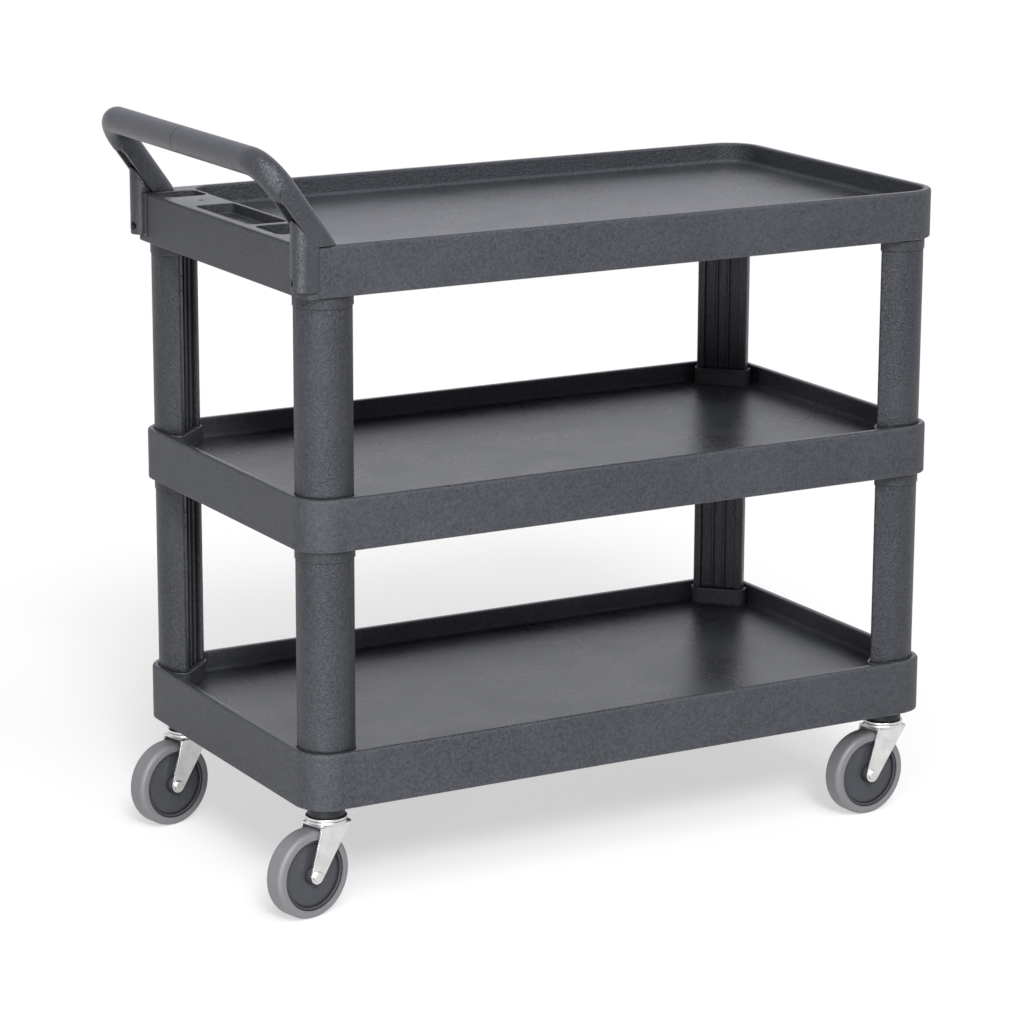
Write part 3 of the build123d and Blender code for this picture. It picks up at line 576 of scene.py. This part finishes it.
def make_camera():
    """The camera, with its long lens."""
    azimuth, elevation = CAMERA_AZIMUTH, CAMERA_ELEVATION
    back = Vector(
        (
            math.sin(azimuth) * math.cos(elevation),
            -math.cos(azimuth) * math.cos(elevation),
            math.sin(elevation),
        )
    )
    right = Vector((math.cos(azimuth), math.sin(azimuth), 0.0))
    up = back.cross(right)
    turned = math.cos(CAMERA_ROLL) * right + math.sin(CAMERA_ROLL) * up
    upward = math.cos(CAMERA_ROLL) * up - math.sin(CAMERA_ROLL) * right
    along, above, away = CAMERA_PLACE
    place = Vector(CAMERA_AIM) + turned * along + upward * above + back * away
    data = bpy.data.cameras.new("Camera")
    data.sensor_width = SENSOR
    data.lens = LENS
    data.clip_end = 500.0
    camera = bpy.data.objects.new("Camera", data)
    axes = Matrix((turned, upward, back)).transposed()
    camera.matrix_world = Matrix.Translation(place) @ axes.to_4x4()
    bpy.context.scene.collection.objects.link(camera)
    bpy.context.scene.camera = camera


def make_world(stage):
    """White where the camera, a gloss or a glass looks, and a softer light on everything else."""
    world = bpy.data.worlds.new("Studio")
    bpy.context.scene.world = world
    world.use_nodes = True
    tree = world.node_tree
    tree.nodes.clear()
    path = tree.nodes.new("ShaderNodeLightPath")
    seen = maths(tree, "ADD", path.outputs["Is Camera Ray"], path.outputs["Is Glossy Ray"], clamp=True)
    seen = maths(tree, "ADD", seen, path.outputs["Is Transmission Ray"], clamp=True)
    backdrop = blend_colour(tree, path.outputs["Is Glossy Ray"], (1, 1, 1, 1), GLOSS_BACKDROP)
    white = add_node(tree, "ShaderNodeBackground", {"Color": backdrop, "Strength": 1.0})
    direction = add_node(tree, "ShaderNodeTexCoord").outputs["Generated"]
    height = add_node(tree, "ShaderNodeSeparateXYZ", {0: direction}).outputs["Z"]
    strength = remap(tree, height, 0.0, SKY_FULL_HEIGHT, 0.0, stage.ambient)
    light = add_node(tree, "ShaderNodeBackground", {"Color": (1, 1, 1, 1), "Strength": strength})
    mix = add_node(tree, "ShaderNodeMixShader", {0: seen, 1: light.outputs[0], 2: white.outputs[0]})
    output = tree.nodes.new("ShaderNodeOutputWorld")
    tree.links.new(mix.outputs[0], output.inputs[0])


def floor_material(stage):
    """Pale paper floor that looks white and still takes the cart's shadow."""
    material = bpy.data.materials.new("Floor_Paper")
    material.use_nodes = True
    tree = material.node_tree
    tree.nodes.clear()
    path = tree.nodes.new("ShaderNodeLightPath")
    seen = maths(tree, "ADD", path.outputs["Is Camera Ray"], path.outputs["Is Glossy Ray"], clamp=True)
    share = maths(tree, "MULTIPLY", seen, stage.floor_whiteness)
    paper = add_node(tree, "ShaderNodeBsdfDiffuse", {"Color": (0.9, 0.9, 0.9, 1)})
    white = add_node(tree, "ShaderNodeEmission", {"Color": (1, 1, 1, 1), "Strength": 1.0})
    mix = add_node(tree, "ShaderNodeMixShader", {0: share, 1: paper.outputs[0], 2: white.outputs[0]})
    output = tree.nodes.new("ShaderNodeOutputMaterial")
    tree.links.new(mix.outputs[0], output.inputs[0])
    return material


class CART_OT_stage(bpy.types.Operator):
    """Lay the floor, place the lamps and aim the camera"""

    bl_idname = "cart.stage"
    bl_label = "Studio"

    def execute(self, context):
        stage = context.scene.cart_stage
        half = stage.floor_size / 2
        sheet = bpy.data.meshes.new("Floor")
        corners = [(-half, -half, 0), (half, -half, 0), (half, half, 0), (-half, half, 0)]
        sheet.from_pydata(corners, [], [(0, 1, 2, 3)])
        floor = bpy.data.objects.new("Floor", sheet)
        context.scene.collection.objects.link(floor)
        floor.data.materials.append(floor_material(stage))
        make_lamp("Key_Lamp", KEY_PLACE, KEY_SPREAD, stage.key_strength)
        make_lamp("Spark_Lamp", SPARK_PLACE, SPARK_SPREAD, stage.spark_strength)
        make_panel("Low_Panel", PANEL_PLACE, PANEL_AIM, PANEL_SIZE, stage.panel_power)
        make_world(stage)
        make_camera()
        context.scene.view_settings.view_transform = "Standard"
        return {"FINISHED"}


class CART_PT_panel(bpy.types.Panel):
    """Finishes and studio of the cart"""

    bl_idname = "CART_PT_panel"
    bl_label = "Utility Cart"
    bl_space_type = "VIEW_3D"
    bl_region_type = "UI"
    bl_category = "Cart"

    def draw(self, context):
        finish = context.scene.cart_finish
        stage = context.scene.cart_stage
        for group in (finish, stage):
            box = self.layout.box()
            for name in group.__annotations__:
                box.prop(group, name)
        for operator in OPERATORS:
            self.layout.operator(operator.bl_idname)


OPERATORS = (CART_OT_groups, CART_OT_trays, CART_OT_posts, CART_OT_handle, CART_OT_casters, CART_OT_stage)
CLASSES = (CartFinish, CartStage, *OPERATORS, CART_PT_panel)


def register():
    for cls in CLASSES:
        bpy.utils.register_class(cls)
    bpy.types.Scene.cart_finish = bpy.props.PointerProperty(type=CartFinish)
    bpy.types.Scene.cart_stage = bpy.props.PointerProperty(type=CartStage)


def unregister():
    del bpy.types.Scene.cart_stage
    del bpy.types.Scene.cart_finish
    for cls in reversed(CLASSES):
        bpy.utils.unregister_class(cls)


def main():
    """Registers the add-on and builds every piece in order."""
    register()
    bpy.ops.cart.groups()
    bpy.ops.cart.trays()
    bpy.ops.cart.posts()
    bpy.ops.cart.handle()
    bpy.ops.cart.casters()
    bpy.ops.cart.stage()


if __name__ == "__main__":
    main()
